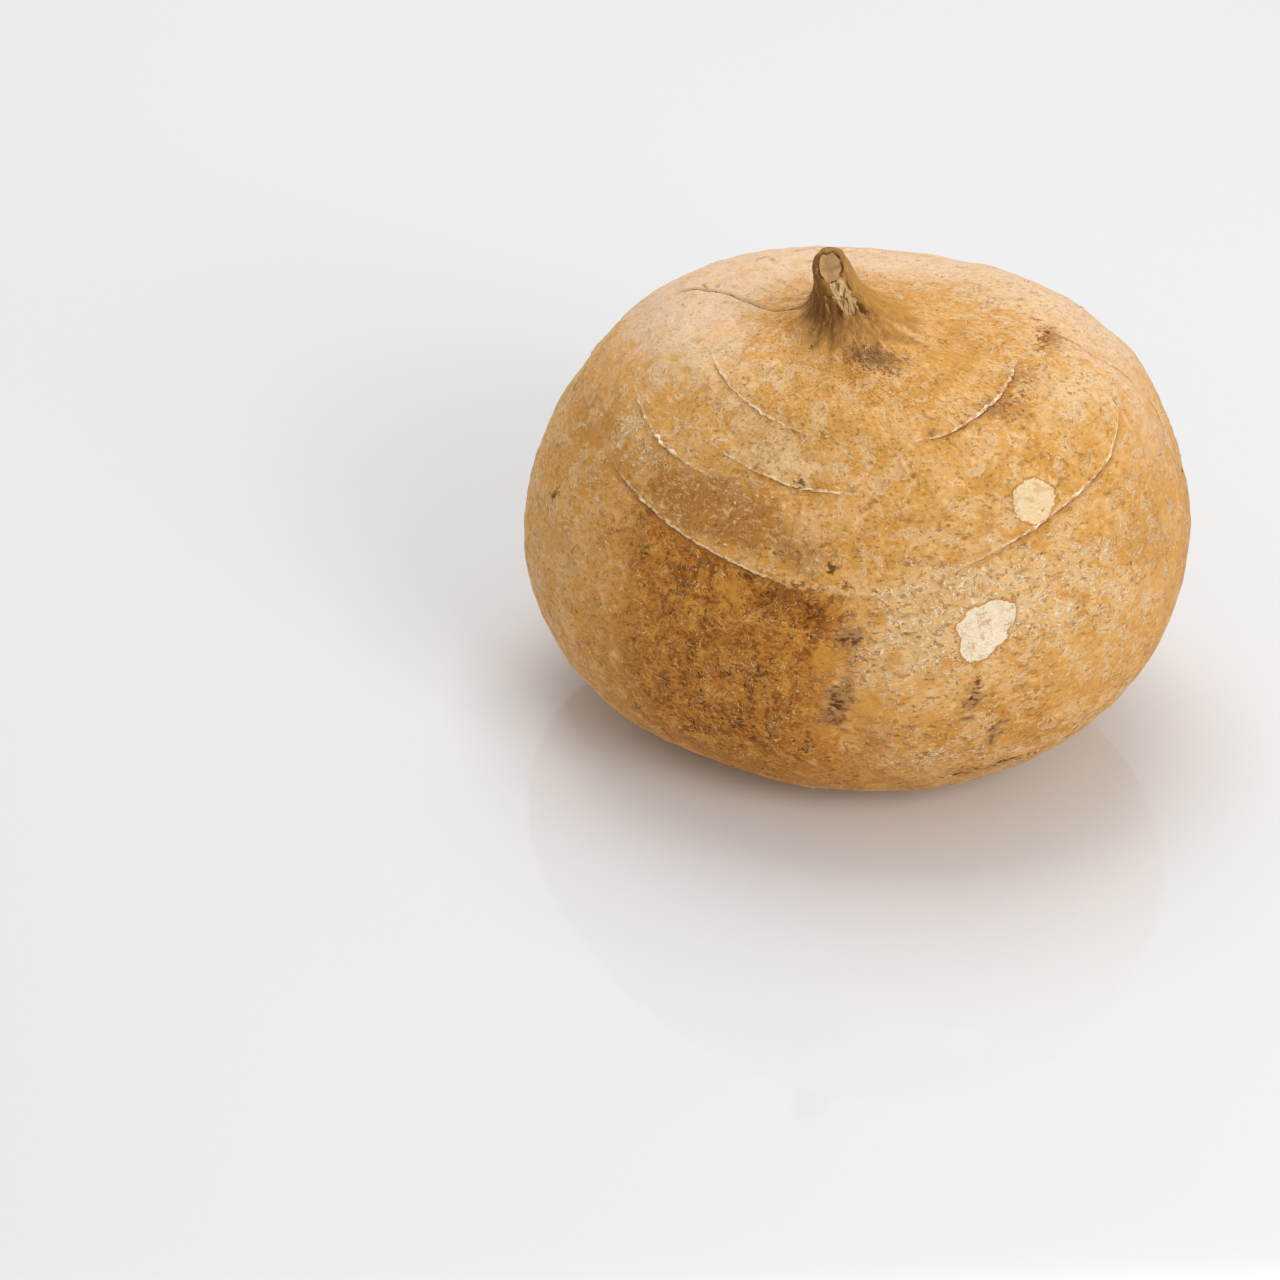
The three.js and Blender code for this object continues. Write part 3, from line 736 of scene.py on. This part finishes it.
# colour, opacity, height in mm, then bands
SKIN_LAYERS = [
    # broad tone: cream where the film is thick, amber where it is thin; on the crown and the back the
    # cream and rose are a painted sheen, and the amber also paints shade around the stem's foot and at the
    # left edge
    ("#efca98", 0.85, 0, ("pale_patch", 0.1, 0.8)),
    ("#edcaaa", 0.85, 0, ("rose_sheen_patch", 0, 0.9)),
    ("#c98d3e", 0.8, 0, ("amber_and_shade_patch", 0.1, 0.8)),
    ("#a46c35", 0.75, 0, ("mauve_patch", 0.1, 0.8)),
    ("#e9b87b", 0.45, 0, ("tone", 0.1, 0.8), ("mauve", 1, 0.3)),
    ("#c1832f", 0.4, 0, ("tone", -0.1, -0.9), ("calm", 0.9, 0.2)),
    # earth stains: amber brown, with darker blotches and streaks, and gold where they are thin; on the
    # lower left front they also paint shade
    ("#b67228", 0.9, 0, ("earth_and_shade_patch", 0.1, 0.8)),
    ("#83470f", 0.7, 0, STAINED_AND_SHADED, ("film", 0.48, 0.4)),
    ("#dc9f48", 0.7, 0, ("earth_and_shade_patch", 0.2, 0.8), ("film", 0.53, 0.62)),
    ("#4f2408", 0.8, 0, STAINED_AND_SHADED, ("streak", 0.53, 0.61), ("flake", 0.46, 0.56)),
    ("#e3a551", 0.45, 0, STAINED_AND_SHADED, ("speck", 0.53, 0.62)),
    ("#71390c", 0.45, 0, STAINED_AND_SHADED, ("speck", 0.46, 0.38)),
    ("#6e350c", 0.7, 0, ("rust", 0.05, 0.4), ("rust_patch", 0.3, 0.8), ("speck", 0.4, 0.52)),
    # peeling film: flat pale patches, with a painted highlight as a bright line along their edge and a
    # painted shadow as a thin brown line beside it
    ("#f0cd9a", 0.35, 0.05, ("film", 0.565, 0.585), CLEAR_OF_STAIN_AND_SHADE, ("mauve", 0.8, 0.2)),
    ("#f8d9a6", 0.5, 0, ("film", 0.555, 0.568), ("film", 0.6, 0.58), ("speck", 0.46, 0.54),
     ("earth_and_shade_patch", 0.8, 0.3), ("mauve", 0.8, 0.2)),
    ("#9a5c1c", 0.4, 0, ("film", 0.525, 0.54), ("film", 0.56, 0.548), ("speck", 0.46, 0.54)),
    # flecks and specks
    ("#95590f", 0.48, 0, ("flake", 0.6, 0.66), ("mottle", 1, -0.4), ("worn", 0.9, 0.2),
     ("calm", 0.9, 0.1)),
    ("#f3cd8e", 0.5, 0, ("flake", 0.41, 0.36), ("mottle", -0.9, 0.4), CLEAR_OF_STAIN_AND_SHADE,
     LIVELY),
    ("#8f5616", 0.4, 0, ("speck", 0.58, 0.68), LIVELY),
    ("#f5d39c", 0.35, 0, ("speck", 0.42, 0.32), CLEAR_OF_STAIN_AND_SHADE),
    # thin curled wisps, sparse all over and dense where the skin is papery
    ("#f7d8a2", 0.7, 0.06, ("curl", 0.03, 0.01), ("flake", 0.5, 0.56), ("worn", 0.7, 0.1),
     ("earth_and_shade_patch", 1.4, 0.2), ("calm", 1.2, 0.2)),
    # pale gold curled wisps in the earth stains, partly painted glints
    ("#efc07a", 0.75, 0.06, STAINED_AND_SHADED, ("curl", 0.035, 0.012), ("flake", 0.44, 0.54)),
    ("#f0c68a", 0.4, 0, ("papery_patch", 0.1, 0.8), WELL_CLEAR_OF_STAIN_AND_SHADE),
    ("#a4651e", 0.42, 0, PAPERY, ("speck", 0.54, 0.63)),
    ("#fdeacb", 0.8, 0.08, PAPERY, ("curl", 0.055, 0.02), ("speck", 0.4, 0.5),
     WELL_CLEAR_OF_STAIN_AND_SHADE),
    ("#fce6c0", 0.6, 0.05, ("papery_patch", 0, 0.5), ("flake", 0.465, 0.485), ("flake", 0.53, 0.51),
     ("speck", 0.42, 0.52), WELL_CLEAR_OF_STAIN_AND_SHADE),
    # smooth worn places
    ("#d3963f", 0.65, 0, ("worn_patch", 0.3, 0.8)),
    # pores
    ("#835328", 0.62, -0.1, ("pore", 0.1, 0.04), ("film", 0.47, 0.53), ("calm", 1.4, 0.4)),
    # bruises
    ("#9f7a56", 0.55, 0, ("bruise_patch", 0.1, 0.8)),
    ("#684226", 0.7, -0.04, ("bruise_patch", 0.3, 0.9), ("speck", 0.47, 0.56)),
    # tears: a soft brown shadow, then the dark gap, then the pale scuffed edge
    ("#a5672c", 0.6, 0, ("crack_mm", -1.5, 0), ("crack_mm", 0.3, -0.1), ("gap", 0.1, 0.9)),
    ("#75401a", 0.75, -0.08, ("tear", -0.28, -0.15), ("tear", 0.04, -0.04), ("gap", 0.2, 1),
     ("flake", 0.38, 0.46)),
    ("#fae0b6", 0.8, 0.06, ("tear", -0.04, 0.06), ("tear", 0.55, 0.35), ("lip", 0.1, 0.8),
     ("speck", 0.4, 0.5)),
    # chips: a thin amber rim, the cream flesh, and small pits in it
    ("#b5752c", 0.6, 0, ("chip", -0.7, -0.15)),
    ("#efcfa0", 1, 0, ("chip", -0.08, 0.06)),
    ("#fdebd0", 0.8, 0.02, ("chip", 0, 0.1), ("papery", 0.1, 0.5)),
    ("#f9e0b8", 0.5, 0, ("chip", 0, 0.1), ("film", 0.5, 0.54)),
    ("#dcb07a", 0.6, -0.05, ("chip", 0.1, 0.4), ("flake", 0.57, 0.63)),
    # the stem's bark and its fibres, with painted light on the stub's right flank and painted shade on its
    # left side
    ("#aa783c", 0.8, 0, ("stem_patch", 0.1, 0.9)),
    # painted light on the stub's right flank
    ("#c99447", 0.85, 0, ("lit_flank", 0.1, 0.8), ("stem", 0, 0.5)),
    # painted shade on the stub's left side, and brown at its front foot
    ("#78502a", 0.75, 0, ("umber_and_shade", 0.1, 0.9)),
    ("#6b3f14", 0.5, -0.05, ("stem_patch", 0.6, 1.3), ("fibre", 0.53, 0.63), ("lit_flank", 1.2, 0.2)),
    ("#d8a763", 0.5, 0.05, ("stem_patch", 0.3, 0.9), ("fibre", 0.45, 0.37)),
    ("#75481d", 0.55, -0.06, ("fibrous_patch", 0.3, 0.9), ("flake", 0.5, 0.57)),
    ("#dfb67a", 0.6, 0.06, ("fibrous_patch", 0.3, 0.9), ("curl", 0.035, 0.015)),
    ("#e3be86", 0.95, 0, ("strip_mm", 0, 0.3)),
    # painted shade: a dark line along the edge where the torn strip is sunk
    ("#5a300f", 0.75, -0.1, ("strip_mm", -0.35, -0.1), ("strip_mm", 0.14, 0), ("fibre", 0.42, 0.52)),
    ("#6b4419", 0.75, -0.1, ("strip_mm", 0, 0.3), ("fibre", 0.54, 0.61)),
    ("#fae3ba", 0.7, 0.06, ("strip_mm", 0.1, 0.5), ("fibre", 0.47, 0.39)),
    ("#deb076", 0.95, 0, ("cut_face", 0.3, 0.8)),
    ("#95683a", 0.4, -0.05, ("cut_face", 0.3, 0.8), ("flake", 0.52, 0.6)),
    ("#e8c592", 0.5, 0, ("cut_face", 0.3, 0.8), ("speck", 0.56, 0.64)),
    ("#4a2a0f", 0.8, 0, ("cut_face", 0.02, 0.25), ("cut_face", 0.8, 0.5), ("film", 0.43, 0.5)),
    # dark knots, on the skin and on the stub
    ("#5e3312", 0.85, -0.06, ("dark_patch", 0.3, 0.8)),
    # the root scar below
    ("#6e4c2b", 0.8, 0, ("scar", 0.3, 0.9), ("speck", 0.35, 0.6)),
    # fine grain everywhere
    (None, 1, 0.06, ("speck", 0.2, 0.8)),
    (None, 1, 0.08, ("flake", 0.3, 0.7)),
    (None, 1, 0.1, ("film", 0.3, 0.7)),
]


# %% The skin's material
CORK = {"IOR": 1.4, "Specular IOR Level": 0.12}
DRY_ROUGHNESS, WORN_ROUGHNESS = 0.5, 0.409


def cork_skin():
    """Jicama bark: thin dry cork, a little waxy. It gives the eye a soft broad sheen over mottled golden
    tan, dark brown stains and knots, pale patches of peeling film and thin cream wisps. Part of the colour
    is painted light: sheen on the crown, shade on the lower left, around the stem's foot and on the
    stub's left side, light on the stub's right flank, and highlights and shadows at the film's edges."""
    material, tree, shader = finish("jicama_cork", CORK)
    place = add(tree, "TexCoord", out="Object")
    spaces = {name: add(tree, "Attribute", out="Vector", attribute_name=name) for name in stretched}
    spaces["mm"] = add(tree, "VectorMath", {"Vector": place, "Scale": 1 / MM}, operation="SCALE")
    fields = {name: add(tree, "Attribute", out="Fac", attribute_name=name) for name in carried}
    for name, (space, size, detail, roughness, distortion) in NOISES.items():
        sockets = {"Vector": spaces[space], "Scale": NOISE_STEP / size, "Detail": detail,
                   "Roughness": roughness, "Distortion": distortion}
        fields[name] = add(tree, "TexNoise", sockets)
        if name in LINES:
            centred = add(tree, "Math", [fields[name], 0.5], operation="SUBTRACT")
            fields[name] = add(tree, "Math", [centred], operation="ABSOLUTE")
    for name, (source, noise, wobble) in RAGGED_FIELDS.items():
        centred = add(tree, "Math", [fields[noise], 0.5], operation="SUBTRACT")
        inputs = [centred, wobble, fields[source]]
        fields[name] = add(tree, "Math", inputs, operation="MULTIPLY_ADD")
    fields["pore"] = add(tree, "TexVoronoi", {"Vector": spaces["mm"], "Scale": 1 / PORE_SPACING})

    layered(tree, shader, colour("#dca357"), fields, SKIN_LAYERS)
    span = {"Value": fields["worn_patch"], "From Min": 0.3, "From Max": 0.8,
            "To Min": DRY_ROUGHNESS, "To Max": WORN_ROUGHNESS}
    worn = add(tree, "MapRange", span, interpolation_type="SMOOTHSTEP")
    tree.links.new(worn, shader.inputs["Roughness"])
    return material


root_skin.data.materials.append(cork_skin())
print("cork finish:", len(SKIN_LAYERS), "layers")

# %% [markdown]
# ## Torn edges, flakes and fibres
#
# The finest scale of the skin is loose: the torn edges stand up as thin pale lips, small flakes have
# curled off where the skin is papery, and the torn strip of the stem has frayed into fibres. Bump alone
# would leave them flat against the light. They are real thin sheets, each one closed, laid out on the
# skin's own grid so that they follow every dent.

# %% Places on the skin
def on_grid(values, s, azimuth):
    """Value of a grid array at s and azimuth: bilinear between the four grid points around it."""
    row = np.interp(s, row_s, np.arange(ROWS))
    column = (azimuth + np.pi) / (2 * np.pi) * COLUMNS
    low_row = np.clip(np.floor(row).astype(int), 0, ROWS - 2)
    low_column = np.floor(column).astype(int)
    up, side = (row - low_row)[:, None], (column - low_column)[:, None]
    corner = [[values[low_row + i, (low_column + j) % COLUMNS] for j in (0, 1)] for i in (0, 1)]
    lower = corner[0][0] * (1 - side) + corner[0][1] * side
    upper = corner[1][0] * (1 - side) + corner[1][1] * side
    return lower * (1 - up) + upper * up


def unit(vectors):
    """Vectors scaled to a length of 1."""
    return vectors / np.linalg.norm(vectors, axis=-1, keepdims=True)


def sheet_piece(name, points, faces, tone, material):
    """A piece of loose skin that rides the root, with one `tone` per point for its finish."""
    piece = mesh_piece(name, points, faces, tone=tone)
    piece.data.materials.append(material)
    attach(piece, "root")
    print(name + ":", len(faces), "faces")


GRAIN_SIZE = 0.8 * MM


def loose_skin(name, dark, pale):
    """Dry loose skin: a thin papery sheet, matt, from a golden brown to cream by its `tone`, with a
    fine grain."""
    material, tree, shader = finish(name, {**CORK, "Roughness": 0.6})
    tone = add(tree, "Attribute", out="Fac", attribute_name="tone")
    place = add(tree, "TexCoord", out="Object")
    grain = add(tree, "TexNoise", {"Vector": place, "Scale": NOISE_STEP / GRAIN_SIZE, "Detail": 1})
    mixed = add(tree, "Math", [grain, 1.2, tone], operation="MULTIPLY_ADD")
    level = add(tree, "MapRange", {"Value": mixed, "From Min": 0.4, "From Max": 1.5})
    tint = add(tree, "MixRGB", [level, colour(dark), colour(pale)])
    tree.links.new(tint, shader.inputs["Base Color"])
    return material


skin_normals = grid_normals(skin)

# %% Lips along the tears
# the lip's cross-section, from its foot over the free edge and back underneath:
# (part of the width, part of the lift, part of the thickness)
LIP_SECTION = np.array([
    (1, 0, 0.3), (0.5, 0.4, 0.5), (0, 1, 0.5), (-0.06, 0.95, -0.5), (0.5, 0.3, -0.5), (1, 0, -1),
])
LIP_WIDE, LIP_LIFT, LIP_THICK = 0.42, 0.16, 0.05    # mm
STRONG = 0.42                   # a lip weaker than this lies flat


def ribbons(strips):
    """Closed thin strips along lines of points. Each has its foot `width` beside its line, its free edge
    `lift` above it, and one tone a point. Gives the points, faces and tones of all of them."""
    points, faces, tones, made = [], [], [], 0
    side, up, thick = LIP_SECTION.T
    for line, normal, width, lift, thickness, tone in strips:
        across = unit(np.cross(normal, unit(np.gradient(line, axis=0))))
        strip = (
            line[:, None]
            + across[:, None] * (width[:, None] * side)[..., None]
            + normal[:, None] * (lift[:, None] * up + thickness[:, None] * thick)[..., None]
        )
        index, quads = wrapped_quads(*strip.shape[:2], made)
        points.append(strip.reshape(-1, 3))
        faces += quads.tolist() + [index[0, ::-1].tolist(), index[-1].tolist()]
        tones.append(np.repeat(tone, len(LIP_SECTION)))
        made += index.size
    return np.vstack(points), faces, np.concatenate(tones)


def tear_lines():
    """Each tear as arrays of s, azimuth and the strength of its lip, about every 0.4 mm."""
    degrees = np.arange(-180, 180, 0.5)
    for path, lips, _, _ in RINGS.values():
        s = rounded(path, degrees, 360, RING_BLUR)
        yield s, np.radians(degrees), rounded(lips, degrees, 360)
    for path, lips, _ in RADIALS.values():
        s = np.arange(path[0][0], path[-1][0], 0.4)
        yield s, np.radians(rounded(path, s, None, RADIAL_BLUR)), rounded(lips, s)


def torn_lips():
    """Ribbons along every tear where its lip is strong, broken where the strength times a wave of a
    few millimetres is low, and tapered at both ends."""
    for s, azimuth, strength in tear_lines():
        line, normal = on_grid(skin, s, azimuth), unit(on_grid(skin_normals, s, azimuth))
        strength = strength * (0.85 + 0.5 * waves(line, 3, 41))
        kept = np.flatnonzero(strength > STRONG)
        for run in np.split(kept, np.flatnonzero(np.diff(kept) > 1) + 1):
            if len(run) < 5:
                continue
            ends = np.minimum(np.arange(len(run)), np.arange(len(run))[::-1])
            taper = 0.12 + 0.88 * smooth(ends / 4)
            frayed = np.clip(0.8 + 0.4 * waves(line[run], 1.4, 42), 0.15, 1.8)
            wobble = 0.12 * waves(line[run], 1.8, 43)
            across = unit(np.cross(normal[run], unit(np.gradient(line[run], axis=0))))
            path = line[run] + across * wobble[:, None]
            width, lift = LIP_WIDE * taper * frayed, LIP_LIFT * taper * frayed
            yield path, normal[run], width, lift, LIP_THICK * taper, 0.2 + 0.4 * waves(path, 2.4, 44)


# torn edge of the skin: it gives each growth crack a thin bright line that catches the light
sheet_piece("torn_lips", *ribbons(torn_lips()), loose_skin("torn_papery_edge", "#cf9b5e", "#fdeacb"))

# %% Curled flakes
FLAKES = 420
FLAKE_LONG = (0.4, 1.2)         # mm
FLAKE_WIDE = (0.2, 0.55)
FLAKE_RISE = (0.08, 0.3)        # how far the free edge has curled up
FLAKE_THICK = 0.05
FACE_POINTS = 9                 # points on the upper face of a flake, and as many below


def curled_flakes():
    """Small sheets of 3 by 3 points above and below. Each is pointed at both ends and curls up with
    the square of the distance from its fixed edge."""
    rng = np.random.default_rng(51)
    # more where the skin is papery, bruised, or stained with earth and painted shade; none on chips,
    # tears, the stem and the flat spot
    place = spots["papery"] + 0.35 * spots["earth_and_shade"] + 0.5 * spots["bruise"] + 0.02
    place *= (1 - spots["worn"]) * (chip_mm < -0.6) * (np.abs(crack_mm) > 0.5) * (S > 40) * (S < 150)
    chance = (place * radius_at(S)).ravel()
    chosen = rng.choice(S.size, FLAKES, replace=False, p=chance / chance.sum())
    middle, normal = skin.reshape(-1, 3)[chosen], skin_normals.reshape(-1, 3)[chosen]
    long_way = unit(np.cross(normal, rng.normal(size=(FLAKES, 3))))
    wide_way = np.cross(normal, long_way)
    long, wide, rise = (rng.uniform(*span, FLAKES) for span in (FLAKE_LONG, FLAKE_WIDE, FLAKE_RISE))

    v, u = (part.ravel() for part in np.meshgrid([-0.5, 0, 0.5], [-0.5, 0, 0.5], indexing="ij"))
    top = (
        middle[:, None]
        + long_way[:, None] * (long[:, None] * u)[..., None]
        + wide_way[:, None] * (wide[:, None] * v * (1 - 2.4 * u**2))[..., None]
        + normal[:, None] * (0.03 + rise[:, None] * (v + 0.5) ** 2)[..., None]
    )
    points = np.stack([top, top - FLAKE_THICK * normal[:, None]], axis=1).reshape(-1, 3)

    cell = np.array([(0, 1, 4, 3), (1, 2, 5, 4), (3, 4, 7, 6), (4, 5, 8, 7)])
    edge = np.array([0, 1, 2, 5, 8, 7, 6, 3])
    after = np.roll(edge, -1)
    sides = np.stack([edge, edge + FACE_POINTS, after + FACE_POINTS, after], axis=-1)
    pattern = np.vstack([cell, cell[:, ::-1] + FACE_POINTS, sides])
    faces = (np.arange(FLAKES)[:, None, None] * 2 * FACE_POINTS + pattern).reshape(-1, 4)
    tone = 0.5 * rng.uniform(size=FLAKES) - 0.7 * spots["earth_and_shade"].ravel()[chosen]
    return points, faces.tolist(), np.repeat(tone, 2 * FACE_POINTS)


# shreds of the film: they give the papery places small glints and shadows
sheet_piece("curled_flakes", *curled_flakes(), loose_skin("curled_papery_flake", "#c48a46", "#f3d6a8"))

# %% Fibres of the torn strip
FIBRES, FIBRE_POINTS = 7, 16
FIBRE_TOP, FIBRE_END = (165, 170), (160.5, 163.5)       # s in mm
FIBRE_WIDE, FIBRE_LIFT, FIBRE_THICK = (0.25, 0.5), (0.03, 0.14), 0.12


def stem_fibres():
    """Frayed fibres that start at the cut and run down the torn strip and past its end, each a
    tapered strip that stands a little off the wood."""
    rng = np.random.default_rng(61)
    for _ in range(FIBRES):
        s = np.linspace(rng.uniform(*FIBRE_TOP), rng.uniform(*FIBRE_END), FIBRE_POINTS)
        lean = rng.uniform(-1, 1)
        bend = 0.04 * waves(np.stack([s, s * 0, s * 0 + lean * 9], axis=-1), 5, 62)
        # on its way down the strip turns left around the stub, and each fibre keeps to a part of it
        azimuth = np.radians(np.interp(s, [158, 171], [-98 + 16 * lean, -60 + 20 * lean])) + bend
        line, normal = on_grid(skin, s, azimuth), unit(on_grid(skin_normals, s, azimuth))
        walk = np.linspace(0, 1, FIBRE_POINTS)
        taper = smooth(walk * 4) * smooth((1 - walk) * 2) * 0.9 + 0.1
        width, lift = (rng.uniform(*span) * taper for span in (FIBRE_WIDE, FIBRE_LIFT))
        tone = np.full(FIBRE_POINTS, rng.uniform(-0.6, 0.5))
        yield line, normal, width, lift, FIBRE_THICK * taper, tone


# torn wood: it gives the strip below the cut a straw-coloured frayed end
sheet_piece("stem_fibres", *ribbons(stem_fibres()), loose_skin("frayed_stem_fibre", "#8a5a26", "#eccb98"))

# %% [markdown]
# ## The studio
#
# The root rests on a glossy pale sheet in a white room, which gives the soft mirror image below it.
# The room is a plain white world. It lights the root softly at half strength, while the camera and
# the gloss see it at full strength. Large soft lamps above and at the right model the form.

# %% Floor
# polished white acrylic sheet: a diffuse pale body under a hard clear gloss
ACRYLIC = {
    "Base Color": colour("#e9e9ea"), "Roughness": 0.6, "Specular IOR Level": 0,
    "Coat Weight": 0.65, "Coat IOR": 1.65, "Coat Roughness": 0.05,
}
FLOOR_RADIUS = 4000             # mm


def round_sheet(name, radius, rings, around):
    """A flat disc of rings and spokes at height 0; its rings are closer together in the middle."""
    turn = np.arange(around) * 2 * np.pi / around
    reach = radius * np.linspace(0, 1, rings + 1)[1:] ** 2
    x, y = (np.outer(reach, part(turn)) for part in (np.cos, np.sin))
    points = np.stack([x, y, np.zeros_like(x)], axis=-1).reshape(-1, 3)
    index, quads = wrapped_quads(rings, around, first=1)
    middle = np.stack([np.zeros(around, int), index[0], np.roll(index[0], -1)], axis=-1)
    faces = middle.tolist() + quads[:, ::-1].tolist()
    return mesh_piece(name, np.vstack([[0, 0, 0], points]), faces)


floor = round_sheet("floor", FLOOR_RADIUS, rings=24, around=96)
floor.data.materials.append(finish("polished_white_sheet", ACRYLIC)[0])
print("floor:", len(floor.data.polygons), "faces")

# %% World
ROOM_LIGHT = 0.5                # strength of the white world as light
ROOM_SEEN = "#f1f1f2"           # its colour for the camera and in reflections

world = bpy.data.worlds.new("white_room")
world.use_nodes = True
scene.world = world
room = world.node_tree
room.nodes.clear()
ray = room.nodes.new("ShaderNodeLightPath").outputs
seen = add(room, "Math", [ray["Is Camera Ray"], ray["Is Glossy Ray"]], operation="MAXIMUM")
seen = add(room, "Math", [seen, ray["Is Transmission Ray"]], operation="MAXIMUM")
lighting = add(room, "Background", [(1, 1, 1, 1), ROOM_LIGHT])
backdrop = add(room, "Background", [colour(ROOM_SEEN), 1])
shown = add(room, "MixShader", [seen, lighting, backdrop])
room.links.new(shown, room.nodes.new("ShaderNodeOutputWorld").inputs["Surface"])

# %% Lamps
centre = (cad_low + cad_high) / 2
reach = (cad_high - cad_low).length     # about the root's size, so that the set scales with it


def softbox(name, place, side, watts):
    """A square lamp with its face turned to the root. Place is in root sizes from its centre."""
    lamp = bpy.data.lights.new(name, "AREA")
    lamp.shape = "SQUARE"
    lamp.size = side * reach
    lamp.energy = watts
    box = bpy.data.objects.new(name, lamp)
    box.location = centre + Vector(place) * reach
    box.rotation_euler = (centre - box.location).to_track_quat("-Z", "Y").to_euler()
    scene.collection.objects.link(box)


softbox("overhead", place=(-0.1, 2.2, 5), side=4, watts=5.85)
softbox("front_right", place=(2.6, -3.4, 2.6), side=2.5, watts=4.1)

# %% [markdown]
# ## The camera
#
# It looks down at the root from the front with a long lens, so that the root's outline stays true.
# Its aim is a point on the floor to the left of the root and a little behind its middle.

# %% Camera
ELEVATION = math.radians(34)
DISTANCE = 7.06                 # in widths of the root
AIM = (-0.3236, 0.163)          # in widths and depths of the root from its middle, on the floor
LENS_MM, SENSOR_MM = 126.1, 36.0

size = cad_high - cad_low
aim = Vector((centre.x + AIM[0] * size.x, centre.y + AIM[1] * size.y, 0))
back = Vector((0, -math.cos(ELEVATION), math.sin(ELEVATION)))

camera_data = bpy.data.cameras.new("camera")
camera_data.lens = LENS_MM
camera_data.sensor_width = SENSOR_MM
camera = bpy.data.objects.new("camera", camera_data)
camera.location = aim + back * DISTANCE * size.x
camera.rotation_euler = (-back).to_track_quat("-Z", "Y").to_euler()
scene.collection.objects.link(camera)
scene.camera = camera
scene.view_settings.view_transform = "Standard"
print("camera:", [round(c / MM) for c in camera.location], "mm")
